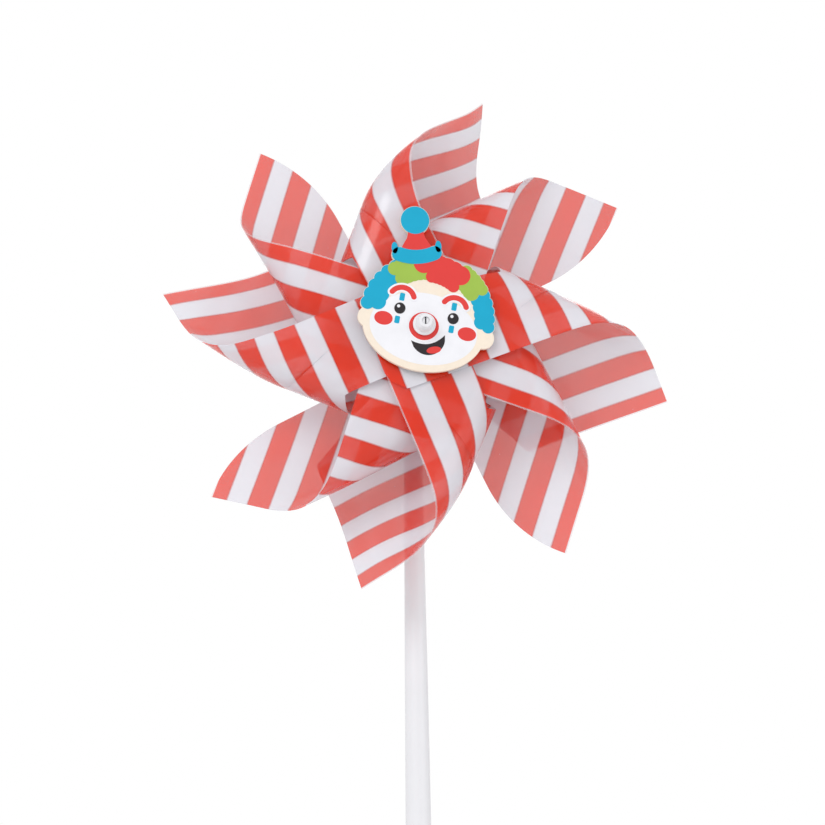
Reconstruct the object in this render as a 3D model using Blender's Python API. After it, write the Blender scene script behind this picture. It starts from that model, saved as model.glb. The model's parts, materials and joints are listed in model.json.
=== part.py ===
"""A toy pinwheel: two striped films cut into four arms each, whose pierced corners curl forward
to the hub, a die-cut face badge and a round nose cap on one axle, and a tapered stick.

The stick stands along +Z from the origin, the axle lies along Y, and the wheel faces -Y."""

import math

import bmesh
import bpy
from mathutils import Vector

# Stick
HUB_HEIGHT = 0.300
STICK_FOOT_RADIUS = 0.00525
STICK_NECK_RADIUS = 0.0028
STICK_FOOT_ROUNDING = 0.0006
STICK_SIDES = 32

# Axle and what sits on it
AXLE_RADIUS = 0.0015
AXLE_SIDES = 24
RUNNING_CLEARANCE = 0.0003
BORE_RADIUS = AXLE_RADIUS + RUNNING_CLEARANCE
FACE_GAP = 0.0003
EYE_WALL = 0.0024
EYE_RADIUS = BORE_RADIUS + EYE_WALL
EYE_LENGTH = 0.0080
HEAD_OVERHANG = 0.0003
HEAD_RADIUS = EYE_RADIUS + HEAD_OVERHANG
HEAD_LENGTH = 0.0020
HEAD_EDGE = HEAD_LENGTH / 4
TIP_EDGE = HEAD_EDGE / 2
COLLAR_WALL = 0.0017
COLLAR_RADIUS = BORE_RADIUS + COLLAR_WALL
COLLAR_LENGTH = 0.0040
SPACER_WALL = 0.0015
SPACER_RADIUS = BORE_RADIUS + SPACER_WALL
SPLIT_WIDTH = 0.0006
SPLIT_DEPTH = 0.0025

# Films. Their cuts and curls are one pattern, drawn for a front square of a known half diagonal,
# and the pattern grows with the square so that the arms still pass each other.
FRONT_HALF_DIAGONAL = 0.1000
DRAWN_HALF_DIAGONAL = 0.1000
PATTERN_SCALE = FRONT_HALF_DIAGONAL / DRAWN_HALF_DIAGONAL
REAR_HALF_DIAGONAL = 0.0955 * PATTERN_SCALE
FILM_THICKNESS = 0.00035
FILM_HOLE_CLEARANCE = 0.0003
FILM_HOLE_RADIUS = BORE_RADIUS + FILM_HOLE_CLEARANCE
LAYER_GAP = 0.00035 * PATTERN_SCALE
DISC_RADIUS = 0.009 * PATTERN_SCALE
RELIEF_START = 0.014 * PATTERN_SCALE
RELIEF_END = 0.026 * PATTERN_SCALE
FREE_RADIUS = 0.016 * PATTERN_SCALE
CORNER_TRIM = 0.0035 * PATTERN_SCALE
HOLE_DISTANCE = 0.0762 * PATTERN_SCALE
REAR_SLIT_OFFSET = 0.0014 * PATTERN_SCALE
FRONT_SLIT_LENGTH = 0.0480 * PATTERN_SCALE
PITCH_ANGLE = math.radians(18.5)
FIRST_TAB_HEIGHT = 0.0260 * PATTERN_SCALE
ARM_STEPS_ACROSS = 18
ARM_STEPS_OUT = 16
GAP_STEPS = 3
CURVE_STEPS = 60
LEAN_FROM = 0.035 * PATTERN_SCALE
LEAN_TO = 0.075 * PATTERN_SCALE
LEAN_FADE_FROM = 0.014 * PATTERN_SCALE
LEAN_FADE_TO = 0.046 * PATTERN_SCALE
BACK_FADE = 0.014 * PATTERN_SCALE

# Badge: places are across and up from the axle, before the badge is turned on it
CARD_THICKNESS = 0.0015
BADGE_GAP = 0.0012
BADGE_TURN = math.radians(-10.7)
FACE_SIDES = 32
FACE_CENTRE = (0.0, -0.0005)
FACE_HALF_WIDTH = 0.0194
FACE_HALF_HEIGHT = 0.0145
CROWN_SIDES = 24
CROWN_CENTRE = (0.0, 0.0060)
CROWN_HALF_WIDTH = 0.0165
CROWN_HALF_HEIGHT = 0.0130
EAR_SIDES = 12
EAR_RADIUS = 0.0034
EAR_PLACES = ((-0.0176, -0.0007), (0.0190, -0.0007))
CURL_SIDES = 12
CURL_RADIUS = 0.0044
CURL_PLACES = (
    (-0.0168, 0.0056), (-0.0158, 0.0103), (-0.0134, 0.0142), (-0.0098, 0.0166),
    (-0.0030, 0.0174), (0.0040, 0.0180), (0.0092, 0.0176), (0.0134, 0.0168),
    (0.0164, 0.0124), (0.0174, 0.0068),
)
HAT_FOOT_HALF_WIDTH = 0.0058
HAT_TOP_HALF_WIDTH = 0.0030
HAT_CENTRE = -0.0058
HAT_FOOT, HAT_TOP = 0.0160, 0.0295
BRIM_HALF_WIDTH = 0.0078
BRIM_FLARE = 0.0016
BRIM_FOOT, BRIM_TOP = 0.0172, 0.0236
POMPOM_SIDES = 16
POMPOM_RADIUS = 0.00455
POMPOM_PLACE = (-0.0088, 0.0330)

# Nose cap
NOSE_WALL = 0.0011
NOSE_RADIUS = BORE_RADIUS + NOSE_WALL
NOSE_FLANGE_WIDTH = 0.0007
NOSE_FLANGE_RADIUS = NOSE_RADIUS + NOSE_FLANGE_WIDTH
NOSE_FLANGE_LENGTH = 0.0012
NOSE_LENGTH = 0.0052
NOSE_LIP = 0.00027
NOSE_DOME_STEPS = 6
AXLE_RECESS = 0.0004

# One entry for each film: its name, half the diagonal of its square, how far its tips stand
# counterclockwise of their bend lines, the direction of its first bend line, how far its root
# is relieved on each side, its slit, and each arm's own turn and lean.
SHEETS = (
    {
        "name": "petal_sheet_rear",
        "half_diagonal": REAR_HALF_DIAGONAL,
        "tip_angle": math.radians(10.0),
        "first_bend": math.radians(26.2),
        "relief": (0.0, math.radians(52.0)),
        "slit": "leaf",
        "slit_size": REAR_SLIT_OFFSET,
        "arms": ((0.0, 8.0), (1.5, -6.0), (1.5, 4.0), (-0.5, 4.0)),
    },
    {
        "name": "petal_sheet_front",
        "half_diagonal": FRONT_HALF_DIAGONAL,
        "tip_angle": math.radians(13.0),
        "first_bend": math.radians(65.6),
        "relief": (math.radians(30.0), 0.0),
        "slit": "straight",
        "slit_size": FRONT_SLIT_LENGTH,
        "arms": ((4.5, 52.0), (3.0, 16.0), (1.5, 24.0), (0.0, 12.0)),
    },
)
ARM_COUNT = 4

# Stations along the axle, measured forward from the axle's middle in the stick (towards -Y)
COLLAR_BACK = EYE_LENGTH / 2 + FACE_GAP
COLLAR_FRONT = COLLAR_BACK + COLLAR_LENGTH
REAR_SHEET = COLLAR_FRONT + FACE_GAP + FILM_THICKNESS / 2
LAYER_PITCH = FILM_THICKNESS + LAYER_GAP
FRONT_SHEET = REAR_SHEET + LAYER_PITCH
FIRST_TAB = REAR_SHEET + FIRST_TAB_HEIGHT
LAST_TAB = FIRST_TAB + (len(SHEETS) * ARM_COUNT - 1) * LAYER_PITCH
SPACER_BACK = FRONT_SHEET + FILM_THICKNESS / 2 + FACE_GAP
SPACER_FRONT = FIRST_TAB - FILM_THICKNESS / 2 - FACE_GAP
BADGE_BACK = LAST_TAB + FILM_THICKNESS / 2 + BADGE_GAP
BADGE_FRONT = BADGE_BACK + CARD_THICKNESS
NOSE_BACK = BADGE_FRONT + FACE_GAP
NOSE_FRONT = NOSE_BACK + NOSE_LENGTH
AXLE_FRONT = NOSE_FRONT - AXLE_RECESS
HEAD_BACK = -(EYE_LENGTH / 2 + FACE_GAP + HEAD_LENGTH)


def clear_scene():
    for old in list(bpy.data.objects):
        bpy.data.objects.remove(old, do_unlink=True)


def material(name, colour, roughness, metallic=0.0, transmission=0.0):
    made = bpy.data.materials.new(name)
    made.use_nodes = True
    shader = made.node_tree.nodes["Principled BSDF"]
    shader.inputs["Base Color"].default_value = (*colour, 1.0)
    shader.inputs["Roughness"].default_value = roughness
    shader.inputs["Metallic"].default_value = metallic
    shader.inputs["Transmission Weight"].default_value = transmission
    return made


def object_from(bm, name, finish=None, parent=None):
    mesh = bpy.data.meshes.new(name)
    bm.to_mesh(mesh)
    bm.free()
    made = bpy.data.objects.new(name, mesh)
    bpy.context.scene.collection.objects.link(made)
    if finish is not None:
        mesh.materials.append(finish)
    made.parent = parent
    return made


def hide_cutter(cutter):
    cutter.hide_render = True
    cutter.display_type = "WIRE"


def add_boolean(target, other, operation):
    modifier = target.modifiers.new(other.name, "BOOLEAN")
    modifier.operation = operation
    modifier.solver = "EXACT"
    modifier.object = other
    hide_cutter(other)


def shade_round(target, angle=40.0):
    target.data.shade_smooth()
    target.data.set_sharp_from_angle(angle=math.radians(angle))


def turned(name, profile, sides, finish=None, parent=None, along="Y"):
    """A solid of revolution about the axle, or about the stick's axis. The profile is a closed
    loop of (radius, station) points, or an open one whose two ends lie on the axis."""
    bm = bmesh.new()
    rings = []
    for radius, station in profile:
        if radius == 0.0:
            rings.append([bm.verts.new(place_on(along, 0.0, 0.0, station))])
            continue
        ring = []
        for side in range(sides):
            angle = math.tau * side / sides
            across, up = radius * math.cos(angle), radius * math.sin(angle)
            ring.append(bm.verts.new(place_on(along, across, up, station)))
        rings.append(ring)
    if profile[0][0] != 0.0:
        rings.append(rings[0])
    for near, far in zip(rings, rings[1:]):
        for side in range(sides):
            after = (side + 1) % sides
            corners = [near[side % len(near)], near[after % len(near)]]
            corners += [far[after % len(far)], far[side % len(far)]]
            bm.faces.new(list(dict.fromkeys(corners)))
    bmesh.ops.recalc_face_normals(bm, faces=bm.faces)
    made = object_from(bm, name, finish, parent)
    shade_round(made)
    return made


def place_on(along, across, up, station):
    """A point at a station forward along the axle, or up the stick."""
    return (across, -station, up) if along == "Y" else (across, up, station)


def tube_profile(inner, outer, back, front):
    return ((inner, back), (outer, back), (outer, front), (inner, front))


def rod_profile(radius, back, front):
    return ((0.0, back), (radius, back), (radius, front), (0.0, front))


def make_stick(finish):
    taper = (
        (0.0, 0.0),
        (STICK_FOOT_RADIUS - STICK_FOOT_ROUNDING, 0.0),
        (STICK_FOOT_RADIUS, STICK_FOOT_ROUNDING),
        (STICK_NECK_RADIUS, HUB_HEIGHT - EYE_RADIUS / 2),
        (0.0, HUB_HEIGHT - EYE_RADIUS / 2),
    )
    stick = turned("stick", taper, STICK_SIDES, finish, along="Z")
    eye = turned("stick_eye", rod_profile(EYE_RADIUS, -EYE_LENGTH / 2, EYE_LENGTH / 2), STICK_SIDES)
    eye.location.z = HUB_HEIGHT
    bore = turned("stick_bore", rod_profile(BORE_RADIUS, -EYE_LENGTH, EYE_LENGTH), AXLE_SIDES)
    bore.location.z = HUB_HEIGHT
    add_boolean(stick, eye, "UNION")
    add_boolean(stick, bore, "DIFFERENCE")
    return stick


def make_axle(finish, hub):
    profile = (
        (0.0, HEAD_BACK),
        (HEAD_RADIUS - HEAD_EDGE, HEAD_BACK),
        (HEAD_RADIUS, HEAD_BACK + HEAD_EDGE),
        (HEAD_RADIUS, HEAD_BACK + HEAD_LENGTH),
        (AXLE_RADIUS, HEAD_BACK + HEAD_LENGTH),
        (AXLE_RADIUS, AXLE_FRONT - TIP_EDGE),
        (AXLE_RADIUS - TIP_EDGE, AXLE_FRONT),
        (0.0, AXLE_FRONT),
    )
    axle = turned("axle_pin", profile, AXLE_SIDES, finish, hub)
    bm = bmesh.new()
    bmesh.ops.create_cube(bm, size=1.0)
    bmesh.ops.scale(bm, vec=(SPLIT_WIDTH, 2 * SPLIT_DEPTH, 4 * AXLE_RADIUS), verts=bm.verts)
    split = object_from(bm, "axle_split", parent=hub)
    split.location.y = -AXLE_FRONT
    add_boolean(axle, split, "DIFFERENCE")
    return axle


def make_nose(finish, hub):
    """A domed cap with a flange behind it, open through the middle for the end of the axle."""
    dome_back = NOSE_BACK + NOSE_FLANGE_LENGTH
    profile = [(BORE_RADIUS, NOSE_BACK), (NOSE_FLANGE_RADIUS, NOSE_BACK)]
    profile.append((NOSE_FLANGE_RADIUS, dome_back))
    mouth = math.asin((BORE_RADIUS + NOSE_LIP) / NOSE_RADIUS)
    for step in range(NOSE_DOME_STEPS + 1):
        angle = math.pi / 2 + (mouth - math.pi / 2) * step / NOSE_DOME_STEPS
        rise = (NOSE_FRONT - dome_back) * math.cos(angle) / math.cos(mouth)
        profile.append((NOSE_RADIUS * math.sin(angle), dome_back + rise))
    profile.append((BORE_RADIUS, NOSE_FRONT - NOSE_LIP))
    return turned("nose_cap", profile, STICK_SIDES, finish, hub)


def smooth_share(low, high, value):
    share = min(max((value - low) / (high - low), 0.0), 1.0)
    return share * share * (3.0 - 2.0 * share)


def tip_radius(sheet):
    return sheet["half_diagonal"] / (math.cos(sheet["tip_angle"]) + math.sin(sheet["tip_angle"]))


def rim_radius(sheet, angle):
    """How far the square reaches at an angle from the arm's bend line, its corner trimmed round."""
    square = sheet["half_diagonal"] / (abs(math.cos(angle)) + math.sin(angle))
    return min(square, sheet["half_diagonal"] - CORNER_TRIM)


def straight_slit(sheet, radius):
    """The slit runs parallel to the side for its length and then straight to the centre."""
    reach, step = tip_radius(sheet), sheet["slit_size"] / math.sqrt(2.0)
    foot_t = reach * math.cos(sheet["tip_angle"]) - step
    foot_s = reach * math.sin(sheet["tip_angle"]) - step
    spare = radius**2 - foot_t**2 - foot_s**2
    if spare <= 0.0:
        return math.atan2(foot_s, foot_t)
    half_sum = foot_t + foot_s
    along = (math.sqrt(half_sum**2 + 2.0 * spare) - half_sum) / 2.0
    return math.atan2(foot_s + along, foot_t + along)


def leaf_slit(sheet, radius):
    """The slit follows an arc from the tip and then a line beside the bend line to the centre."""
    offset, reach = sheet["slit_size"], tip_radius(sheet)
    tip_t, tip_s = reach * math.cos(sheet["tip_angle"]), reach * math.sin(sheet["tip_angle"])
    bow = (tip_s - offset) / (1.0 - math.sqrt(0.5))
    centre_t, centre_s = tip_t - bow * math.sqrt(0.5), offset + bow
    if radius <= math.hypot(centre_t, offset):
        return math.asin(offset / radius)
    away = math.hypot(centre_t, centre_s)
    share = (radius**2 - away**2 - bow**2) / (2.0 * bow * away)
    turn = math.atan2(centre_s, centre_t) + math.asin(min(max(share, -1.0), 1.0))
    return math.atan2(centre_s - bow * math.cos(turn), centre_t + bow * math.sin(turn))


def flat_point(sheet, across, out):
    """Radius and angle on the flat film: across runs from the arm's clockwise edge to its other
    edge, and out runs from the disc round the hub to the rim."""
    reach = tip_radius(sheet)
    inner = DISC_RADIUS + (reach - DISC_RADIUS) * out
    slit = leaf_slit if sheet["slit"] == "leaf" else straight_slit
    start = slit(sheet, inner)
    held = 1.0 - smooth_share(RELIEF_START, RELIEF_END, inner)
    low = start + sheet["relief"][0] * held
    high = start + math.pi / 2 - sheet["relief"][1] * held
    rim = rim_radius(sheet, sheet["tip_angle"] + math.pi / 2 * across)
    return DISC_RADIUS + (rim - DISC_RADIUS) * out, low + (high - low) * across


def curl_sizes(height):
    """Flat length and radius of the curl, so that the hole comes to rest over the hub."""
    sine, cosine = math.sin(PITCH_ANGLE), math.cos(PITCH_ANGLE)
    turn = math.pi - PITCH_ANGLE
    radius = (HOLE_DISTANCE * sine - height * (1.0 + cosine)) / (
        sine * (turn - sine) - (1.0 + cosine) ** 2
    )
    return (height - radius * (1.0 + cosine)) / sine, radius


def slope(height, lean, along, across):
    """The film's slope at a distance across the bend line, forward of the wheel's plane."""
    straight, radius = curl_sizes(height)
    turn = math.pi - PITCH_ANGLE
    angle = PITCH_ANGLE + min(max((across - straight) / radius, 0.0), turn)
    near = 1.0 - smooth_share(LEAN_FADE_FROM, LEAN_FADE_TO, across)
    angle += lean * smooth_share(LEAN_FROM, LEAN_TO, along) * near
    return angle * (1.0 - smooth_share(0.0, BACK_FADE, -across))


def curled(height, lean, along, across):
    """(across, forward) of a film point after the curl, by adding up the slopes."""
    step = across / CURVE_STEPS
    slopes = [slope(height, lean, along, step * (index + 0.5)) for index in range(CURVE_STEPS)]
    return step * sum(map(math.cos, slopes)), step * sum(map(math.sin, slopes))


def film_place(radius, angle, bend, height, lean, station):
    """Where a flat film point comes to lie, seen from the hub."""
    along, across = radius * math.cos(angle), radius * math.sin(angle)
    side, forward = curled(height, lean, along, across)
    free = smooth_share(DISC_RADIUS, FREE_RADIUS, radius)
    side = across + (side - across) * free
    x = along * math.cos(bend) - side * math.sin(bend)
    z = along * math.sin(bend) + side * math.cos(bend)
    return Vector((x, -(station + forward * free), z))


def add_arm(bm, sheet, bend, height, lean, station):
    """The arm's faces, and its vertices along the disc."""
    rows = []
    for out in range(ARM_STEPS_OUT + 1):
        row = []
        for across in range(ARM_STEPS_ACROSS + 1):
            radius, angle = flat_point(sheet, across / ARM_STEPS_ACROSS, out / ARM_STEPS_OUT)
            row.append(bm.verts.new(film_place(radius, angle, bend, height, lean, station)))
        rows.append(row)
    for near, far in zip(rows, rows[1:]):
        for index in range(ARM_STEPS_ACROSS):
            bm.faces.new((near[index], near[index + 1], far[index + 1], far[index]))
    return rows[0]


def add_disc(bm, roots, station):
    """The ring between the hub hole and the arms' roots."""
    ring = []
    for root, after in zip(roots, roots[1:] + roots[:1]):
        ring.extend(root)
        start = math.atan2(root[-1].co.z, root[-1].co.x)
        gap = (math.atan2(after[0].co.z, after[0].co.x) - start) % math.tau
        for step in range(1, GAP_STEPS + 1):
            angle = start + gap * step / (GAP_STEPS + 1)
            x, z = DISC_RADIUS * math.cos(angle), DISC_RADIUS * math.sin(angle)
            ring.append(bm.verts.new((x, -station, z)))
    hole = []
    for outer in ring:
        toward = outer.co * (FILM_HOLE_RADIUS / DISC_RADIUS)
        hole.append(bm.verts.new((toward.x, -station, toward.z)))
    for index in range(len(ring)):
        after = (index + 1) % len(ring)
        bm.faces.new((hole[index], hole[after], ring[after], ring[index]))


def make_sheet(order, sheet, finish, wheel):
    """One film: four arms on a disc, given its thickness, with a hole in each pierced corner."""
    station = REAR_SHEET + order * LAYER_PITCH
    bm = bmesh.new()
    roots = []
    for arm, (turn, lean) in enumerate(sheet["arms"]):
        bend = sheet["first_bend"] + math.pi / 2 * arm + math.radians(turn)
        tab = FIRST_TAB + (order * ARM_COUNT + arm) * LAYER_PITCH
        roots.append(add_arm(bm, sheet, bend, tab - station, math.radians(lean), station))
    add_disc(bm, roots, station)
    bmesh.ops.recalc_face_normals(bm, faces=bm.faces)
    film = object_from(bm, sheet["name"], finish, wheel)
    solidify = film.modifiers.new("thickness", "SOLIDIFY")
    solidify.thickness = FILM_THICKNESS
    solidify.offset = 0.0
    solidify.use_even_offset = True
    through = rod_profile(FILM_HOLE_RADIUS, FIRST_TAB - LAYER_PITCH, LAST_TAB + LAYER_PITCH)
    punch = turned(sheet["name"] + "_punch", through, AXLE_SIDES, parent=wheel)
    add_boolean(film, punch, "DIFFERENCE")
    shade_round(film)
    return film


def badge_prism(name, outline, badge_parent, finish=None):
    """A card shape from its outline, across and up from the axle."""
    bm = bmesh.new()
    front = [bm.verts.new((across, -BADGE_FRONT, up)) for across, up in outline]
    bm.faces.new(front)
    made = bmesh.ops.extrude_face_region(bm, geom=bm.faces[:])
    moved = [item for item in made["geom"] if isinstance(item, bmesh.types.BMVert)]
    bmesh.ops.translate(bm, vec=(0.0, CARD_THICKNESS, 0.0), verts=moved)
    bmesh.ops.recalc_face_normals(bm, faces=bm.faces)
    return object_from(bm, name, finish, badge_parent)


def oval(centre, half_width, half_height, sides):
    points = []
    for side in range(sides):
        angle = math.tau * (side + 0.5) / sides
        across = centre[0] + half_width * math.cos(angle)
        points.append((across, centre[1] + half_height * math.sin(angle)))
    return points


def disc(centre, radius, sides):
    return oval(centre, radius, radius, sides)


def make_badge(finish, badge):
    """The face, ears, hair, hat, brim and pompom as one card, with a hole for the axle."""
    face = oval(FACE_CENTRE, FACE_HALF_WIDTH, FACE_HALF_HEIGHT, FACE_SIDES)
    crown = oval(CROWN_CENTRE, CROWN_HALF_WIDTH, CROWN_HALF_HEIGHT, CROWN_SIDES)
    card = badge_prism("face_badge", face, badge, finish)
    hat = (
        (HAT_CENTRE - HAT_FOOT_HALF_WIDTH, HAT_FOOT),
        (HAT_CENTRE + HAT_FOOT_HALF_WIDTH, HAT_FOOT),
        (POMPOM_PLACE[0] + HAT_TOP_HALF_WIDTH, HAT_TOP),
        (POMPOM_PLACE[0] - HAT_TOP_HALF_WIDTH, HAT_TOP),
    )
    brim = (
        (HAT_CENTRE - BRIM_HALF_WIDTH + BRIM_FLARE, BRIM_FOOT),
        (HAT_CENTRE + BRIM_HALF_WIDTH - BRIM_FLARE, BRIM_FOOT),
        (HAT_CENTRE + BRIM_HALF_WIDTH, BRIM_TOP),
        (HAT_CENTRE - BRIM_HALF_WIDTH, BRIM_TOP),
    )
    pompom = disc(POMPOM_PLACE, POMPOM_RADIUS, POMPOM_SIDES)
    shapes = [("hat", hat), ("brim", brim), ("pompom", pompom), ("crown", crown)]
    for index, place in enumerate(EAR_PLACES):
        shapes.append((f"ear_{index}", disc(place, EAR_RADIUS, EAR_SIDES)))
    for index, place in enumerate(CURL_PLACES):
        shapes.append((f"curl_{index}", disc(place, CURL_RADIUS, CURL_SIDES)))
    for name, outline in shapes:
        add_boolean(card, badge_prism("card_" + name, outline, badge), "UNION")
    through = rod_profile(BORE_RADIUS, BADGE_BACK - FACE_GAP, BADGE_FRONT + FACE_GAP)
    hole = turned("card_hole", through, AXLE_SIDES, parent=badge)
    add_boolean(card, hole, "DIFFERENCE")
    return card


def empty(name, height, turn=0.0):
    made = bpy.data.objects.new(name, None)
    bpy.context.scene.collection.objects.link(made)
    made.location.z = height
    made.rotation_euler.y = -turn
    return made


def main():
    clear_scene()
    white = material("white_plastic", (0.86, 0.86, 0.88), 0.30)
    film = material("striped_film", (0.85, 0.22, 0.20), 0.25, transmission=0.2)
    card = material("printed_card", (0.93, 0.86, 0.78), 0.45)
    hub = empty("hub_axis", HUB_HEIGHT)
    wheel = empty("wheel_axis", HUB_HEIGHT)
    badge = empty("badge_axis", HUB_HEIGHT, BADGE_TURN)
    make_stick(white)
    make_axle(white, hub)
    collar = tube_profile(BORE_RADIUS, COLLAR_RADIUS, COLLAR_BACK, COLLAR_FRONT)
    turned("rear_collar", collar, AXLE_SIDES, white, hub)
    spacer = tube_profile(BORE_RADIUS, SPACER_RADIUS, SPACER_BACK, SPACER_FRONT)
    turned("hub_spacer", spacer, AXLE_SIDES, white, wheel)
    for order, sheet in enumerate(SHEETS):
        make_sheet(order, sheet, film, wheel)
    make_badge(card, badge)
    make_nose(white, hub)


main()
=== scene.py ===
"""Looks of a toy pinwheel: two striped films curled to a hub, a printed clown face badge, a nose
cap and a moulded stick, built round the fixed frame of the solid model."""

import json
import math

import bmesh
import bpy
import numpy as np
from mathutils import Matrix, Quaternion, Vector

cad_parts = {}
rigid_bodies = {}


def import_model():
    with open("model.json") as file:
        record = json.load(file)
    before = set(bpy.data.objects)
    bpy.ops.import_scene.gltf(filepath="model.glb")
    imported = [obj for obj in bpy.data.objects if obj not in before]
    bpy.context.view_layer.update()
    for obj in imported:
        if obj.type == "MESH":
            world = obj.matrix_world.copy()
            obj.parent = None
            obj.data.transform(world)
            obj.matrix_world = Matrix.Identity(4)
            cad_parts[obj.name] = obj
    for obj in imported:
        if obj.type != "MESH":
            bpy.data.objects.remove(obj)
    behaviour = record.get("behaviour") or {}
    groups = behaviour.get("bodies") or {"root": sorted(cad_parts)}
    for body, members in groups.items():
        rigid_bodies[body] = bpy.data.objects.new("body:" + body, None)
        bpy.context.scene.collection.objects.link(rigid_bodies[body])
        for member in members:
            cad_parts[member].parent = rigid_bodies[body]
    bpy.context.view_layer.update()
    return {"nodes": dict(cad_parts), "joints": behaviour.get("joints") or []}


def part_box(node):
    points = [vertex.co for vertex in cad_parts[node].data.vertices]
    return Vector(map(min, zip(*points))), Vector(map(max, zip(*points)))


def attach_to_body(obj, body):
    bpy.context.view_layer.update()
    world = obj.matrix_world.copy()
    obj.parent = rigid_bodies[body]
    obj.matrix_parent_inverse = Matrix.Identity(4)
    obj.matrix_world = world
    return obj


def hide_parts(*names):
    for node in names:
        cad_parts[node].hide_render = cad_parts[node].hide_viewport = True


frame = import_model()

bl_info = {
    "name": "Striped pinwheel",
    "version": (1, 0, 0),
    "blender": (4, 5, 0),
    "location": "View3D > Sidebar > Pinwheel",
    "description": "Builds the films, badge, hub parts and stick of a toy pinwheel, and its stage",
    "category": "Object",
}

MM = 0.001

# Bodies, and the record's finishes
HANDLE, WHEEL, BADGE = "handle", "wheel", "badge"
PLASTIC_SLOT, FILM_SLOT, CARD_SLOT = "white_plastic", "striped_film", "printed_card"

# Places taken from the frame: the axle's line and each piece's stretch of it, counted forward
JOINTS = {joint["name"]: joint for joint in frame["joints"]}
HUB = Vector(JOINTS["wheel_spin"]["pos_m"])
HUB_HEIGHT = HUB.z


def stretch(node):
    """The back and front stations of a node along the axle."""
    low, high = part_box(node)
    return -high[1], -low[1]


def radius_of(node):
    """Half of a round node's width across the axle."""
    low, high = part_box(node)
    return (high[0] - low[0]) / 2


def points_of(node):
    return [vertex.co for vertex in frame["nodes"][node].data.vertices]


def bore_of(node):
    """The smallest distance of a node's points from the axle."""
    return min(math.hypot(place.x, place.z - HUB_HEIGHT) for place in points_of(node))


# Sides of round pieces, and the angle in degrees over which an edge stays sharp
HOLE_SIDES, PIN_SIDES, ROUND_SIDES = 48, 72, 96
OVAL_SIDES, FINE_OVAL_SIDES, EAR_SIDES, LOBE_BACK_SIDES, GLINT_SIDES = 64, 96, 32, 28, 24
SHARP_ANGLE, FILM_SHARP_ANGLE = 32.0, 50.0

# Films
FILM_THICKNESS = 0.35 * MM
SHOWN_THICKNESS = FILM_THICKNESS * 0.8
LAYER_PITCH = 0.70 * MM
REAR_SHEET = stretch("petal_sheet_rear")[0] + FILM_THICKNESS / 2
FIRST_TAB_HEIGHT = 26.0 * MM
FILM_HOLE_RADIUS = 2.1 * MM
DISC_RADIUS = 9.0 * MM
RELIEF_START, RELIEF_END = 14.0 * MM, 26.0 * MM
FREE_RADIUS = 16.0 * MM
CORNER_TRIM = 3.5 * MM
HOLE_DISTANCE = 76.2 * MM
PITCH_ANGLE = math.radians(18.5)
LEAN_FROM, LEAN_TO = 35.0 * MM, 75.0 * MM
LEAN_FADE_FROM, LEAN_FADE_TO = 14.0 * MM, 46.0 * MM
BACK_FADE = 14.0 * MM
ARM_COUNT = 4
ARM_STEPS_ACROSS = 54
ARM_STEPS_OUT = 48
GAP_STEPS = 10
CURVE_STEPS = 90
UV_METRES = 10.0
SHEETS = (
    {
        "name": "petal_sheet_rear",
        "half_diagonal": 95.5 * MM,
        "tip_angle": math.radians(10.0),
        "first_bend": math.radians(26.2),
        "relief": (0.0, math.radians(52.0)),
        "slit": "leaf",
        "slit_size": 1.4 * MM,
        "arms": ((0.0, 8.0), (1.5, -6.0), (1.5, 4.0), (-0.5, 4.0)),
        "first_along_slit": True,
    },
    {
        "name": "petal_sheet_front",
        "half_diagonal": 100.0 * MM,
        "tip_angle": math.radians(13.0),
        "first_bend": math.radians(65.6),
        "relief": (math.radians(30.0), 0.0),
        "slit": "straight",
        "slit_size": 48.0 * MM,
        "arms": ((4.5, 52.0), (3.0, 16.0), (1.5, 24.0), (0.0, 12.0)),
        "first_along_slit": False,
    },
)

# Badge: places are across and up from the axle, in millimetres, before the badge is turned
FACE_OVAL = (0.0, -0.5, 19.4, 14.5)
CROWN_OVAL = (0.0, 6.0, 16.5, 13.0)
EARS = ((-17.6, -0.7, 3.4, 3.4), (19.0, -0.7, 3.4, 3.4))
MAKE_UP_OVAL = (0.0, -1.3, 17.0, 11.5)
CHEEKS = ((-12.9, -0.3, 2.9, 2.2), (13.7, -0.4, 2.9, 2.2))
EYES = ((-8.4, 3.8, 1.75, 1.8), (8.6, 3.7, 1.75, 1.8))
EYE_GLINTS = ((-8.9, 4.4, 0.5, 0.5), (8.1, 4.3, 0.5, 0.5))
DASH_HALF_WIDTH = 0.8
DASHES = ((-8.3, 6.3, 8.8), (-8.6, -1.2, 1.2), (8.3, 6.3, 8.8), (8.6, -1.0, 1.4))
BROWS = ((-8.3, 6.7), (8.4, 6.6))
BROW_RADIUS, BROW_WIDTH = 3.9, 1.7
BROW_SPAN = (22.0, 150.0)
NOSE_DISC = (0.0, -0.5, 4.7, 4.5)
NOSE_HALO = (0.0, -0.5, 5.4, 5.2)
MOUTH_PLACE, MOUTH_TURN = (1.9, -3.9), math.radians(20.0)
MOUTH_HALF_WIDTH, MOUTH_UPPER, MOUTH_LOWER = 5.4, 2.0, 5.6
TONGUE = (1.1, -4.2, 2.3, 1.1)
HALO = 0.6
HAT_PLACE, HAT_TURN = (-6.3, 22.8), math.radians(13.0)
HAT_LEFT = ((-2.4, 6.6), (-2.9, 4.6), (-4.4, 2.2))
HAT_CONE = ((-5.2, 0.4), (5.2, 0.4), (4.4, 2.2), (2.9, 4.6), (2.4, 6.6), *HAT_LEFT)
BRIM_CENTRE, BRIM_RADIUS, BRIM_WIDTH, BRIM_SPAN = (0.0, 13.0), 14.6, 4.6, 22.5
BRIM_HORNS = ((-6.9, 1.6, 1.0, 1.9), (6.9, 1.6, 1.0, 1.9))
POMPOM = (0.0, 10.4, 4.5, 4.5)
HAIR_CENTRE = (0.2, 2.4)
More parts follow.
